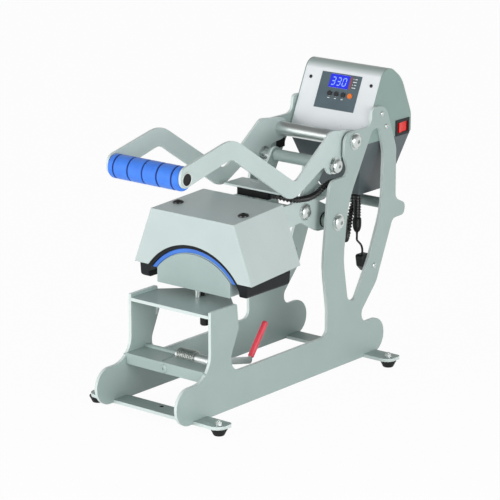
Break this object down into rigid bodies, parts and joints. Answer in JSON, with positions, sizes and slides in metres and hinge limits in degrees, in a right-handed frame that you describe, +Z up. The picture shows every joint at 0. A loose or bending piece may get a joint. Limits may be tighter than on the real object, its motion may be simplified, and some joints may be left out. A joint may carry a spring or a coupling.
{
  "type": "cap heat press",
  "caption": "Bench cap heat press with a curved heated platen on toggle-linked arms over a padded form, and a controller box.",
  "frame": {"origin": "on the floor under the middle of the overall length and width", "axes": "+X to the machine's right seen from behind the handle, +Y to the back, +Z up"},
  "size_m": [0.312, 0.684, 0.548],
  "materials": {
    "frame_paint": "satin",
    "cover_paint": "satin",
    "box_paint": "satin",
    "panel_paint": "satin",
    "zinc": "satin",
    "spring_steel": "gloss",
    "black_coating": "satin",
    "silicone": "matte",
    "grip_foam": "matte",
    "black_rubber": "matte",
    "black_plastic": "matte",
    "red_plastic": "gloss",
    "red_sleeve": "satin",
    "overlay_film": "satin",
    "dark_key": "satin",
    "orange_key": "satin",
    "display_blue": "gloss",
    "board_green": "satin"
  },
  "bodies": {
    "root": {"left_side_plate": "frame_paint", "right_side_plate": "frame_paint", "platform": "frame_paint", "front_crossbar": "frame_paint", "rear_cross_tube": "frame_paint", "foot_bars": "frame_paint", "rubber_feet": "black_rubber", "foot_bolts": "zinc", "frame_screws": "zinc", "handle_pivot_bolt": "zinc", "platen_pivot_shaft": "zinc", "tower_spacers": "zinc", "lower_platen": "frame_paint", "form_front_plate": "frame_paint", "form_pad": "silicone", "form_posts": "zinc", "rubber_stop": "black_rubber", "control_wrap": "box_paint", "control_sides": "panel_paint", "control_tray": "panel_paint", "face_overlay": "overlay_film", "display": "display_blue", "circuit_board": "board_green", "switch_bezel": "black_plastic", "power_inlet": "black_plastic", "cable_glands": "black_rubber", "sensor_lead": "black_rubber", "lead_clamp": "black_plastic", "hold_down_shaft": "frame_paint"},
    "handle": {"left_handle_arm": "frame_paint", "right_handle_arm": "frame_paint", "handle_cross_tube": "zinc", "handle_bar": "zinc", "grip": "grip_foam", "handle_bushes": "black_plastic", "link_axle": "zinc", "axle_sleeves": "frame_paint"},
    "link": {"left_link": "frame_paint", "right_link": "frame_paint"},
    "platen": {"left_platen_arm": "frame_paint", "right_platen_arm": "frame_paint", "platen_cross_tube": "frame_paint", "platen_bushes": "black_plastic", "link_joint_bolts": "zinc", "carrier_plate": "frame_paint", "magnet_block": "black_coating", "hanger_plate": "frame_paint", "platen_studs": "zinc", "heat_platen": "black_coating", "platen_cover": "cover_paint", "cover_screws": "black_coating", "heater_cable": "black_rubber"},
    "lever": {"hold_down_lever": "zinc", "lever_sleeve": "red_sleeve", "return_spring": "spring_steel"},
    "rocker": {"power_rocker": "red_plastic"},
    "key_1_body": {"key_1": "dark_key"},
    "key_2_body": {"key_2": "dark_key"},
    "key_3_body": {"key_3": "dark_key"},
    "key_start_body": {"key_start": "orange_key"}
  },
  "joints": [
    {"name": "platen_swing", "type": "hinge", "parent": "root", "child": "platen", "pos_m": [0, 0.109, 0.29], "axis": [-1, 0, 0], "range_deg": [0, 24]},
    {"name": "handle_swing", "type": "hinge", "parent": "root", "child": "handle", "pos_m": [0, 0.158, 0.432], "axis": [-1, 0, 0], "range_deg": [0, 40]},
    {"name": "link_turn", "type": "hinge", "parent": "handle", "child": "link", "pos_m": [0, 0.11, 0.394], "axis": [-1, 0, 0], "range_deg": [-60, 0]},
    {"name": "hold_down_turn", "type": "hinge", "parent": "root", "child": "lever", "pos_m": [0, -0.211, 0.097], "axis": [-1, 0, 0], "range_deg": [0, 25], "stiffness_Nm_per_rad": 1, "springref_deg": -34.38},
    {"name": "rocker_tilt", "type": "hinge", "parent": "root", "child": "rocker", "pos_m": [0.0854, 0.312, 0.431], "axis": [0, 0, -1], "range_deg": [0, 16]},
    {"name": "key_1_press", "type": "slide", "parent": "root", "child": "key_1_body", "axis": [0, 0.9124, -0.4093], "range_m": [0, 0.0008], "stiffness_N_per_m": 300, "springref_m": -0.0004},
    {"name": "key_2_press", "type": "slide", "parent": "root", "child": "key_2_body", "axis": [0, 0.9124, -0.4093], "range_m": [0, 0.0008], "stiffness_N_per_m": 300, "springref_m": -0.0004},
    {"name": "key_3_press", "type": "slide", "parent": "root", "child": "key_3_body", "axis": [0, 0.9124, -0.4093], "range_m": [0, 0.0008], "stiffness_N_per_m": 300, "springref_m": -0.0004},
    {"name": "key_start_press", "type": "slide", "parent": "root", "child": "key_start_body", "axis": [0, 0.9124, -0.4093], "range_m": [0, 0.0008], "stiffness_N_per_m": 300, "springref_m": -0.0004}
  ],
  "couplings": [
    {"joint": "handle_swing", "follows": "platen_swing", "ratio": 1.6666},
    {"joint": "link_turn", "follows": "platen_swing", "ratio": -2.4999}
  ]
}
